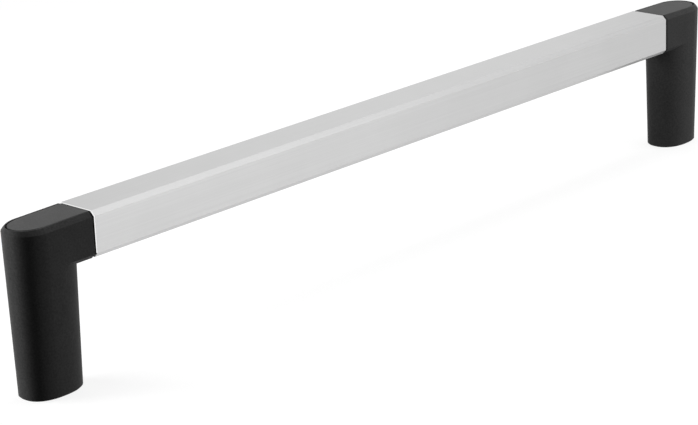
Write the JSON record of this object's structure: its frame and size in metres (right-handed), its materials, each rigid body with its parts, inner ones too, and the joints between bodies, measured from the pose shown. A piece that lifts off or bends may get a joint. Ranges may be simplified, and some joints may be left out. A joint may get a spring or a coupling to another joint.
{
  "type": "bow pull handle",
  "caption": "Bow pull handle: a straight satin aluminium bar with flat-broken edges between black moulded oval legs, closed by snap-in caps over the screw wells.",
  "frame": {"origin": "on the mounting face, midway between the two feet", "axes": "+X along the bar, +Z from the mounting face towards the bar"},
  "size_m": [0.3754, 0.0182, 0.0592],
  "materials": {
    "satin_aluminium": "satin natural anodised, with fine lines along the bar",
    "black_polyamide": "glass-filled, finely grained, matt",
    "cap_polyamide": "finely grained, matt",
    "plated_steel": "zinc plated"
  },
  "bodies": {
    "root": {"grip_bar": "satin_aluminium", "left_leg": "black_polyamide", "right_leg": "black_polyamide", "left_cap": "cap_polyamide", "right_cap": "cap_polyamide", "bar_screws": "plated_steel"}
  },
  "joints": []
}
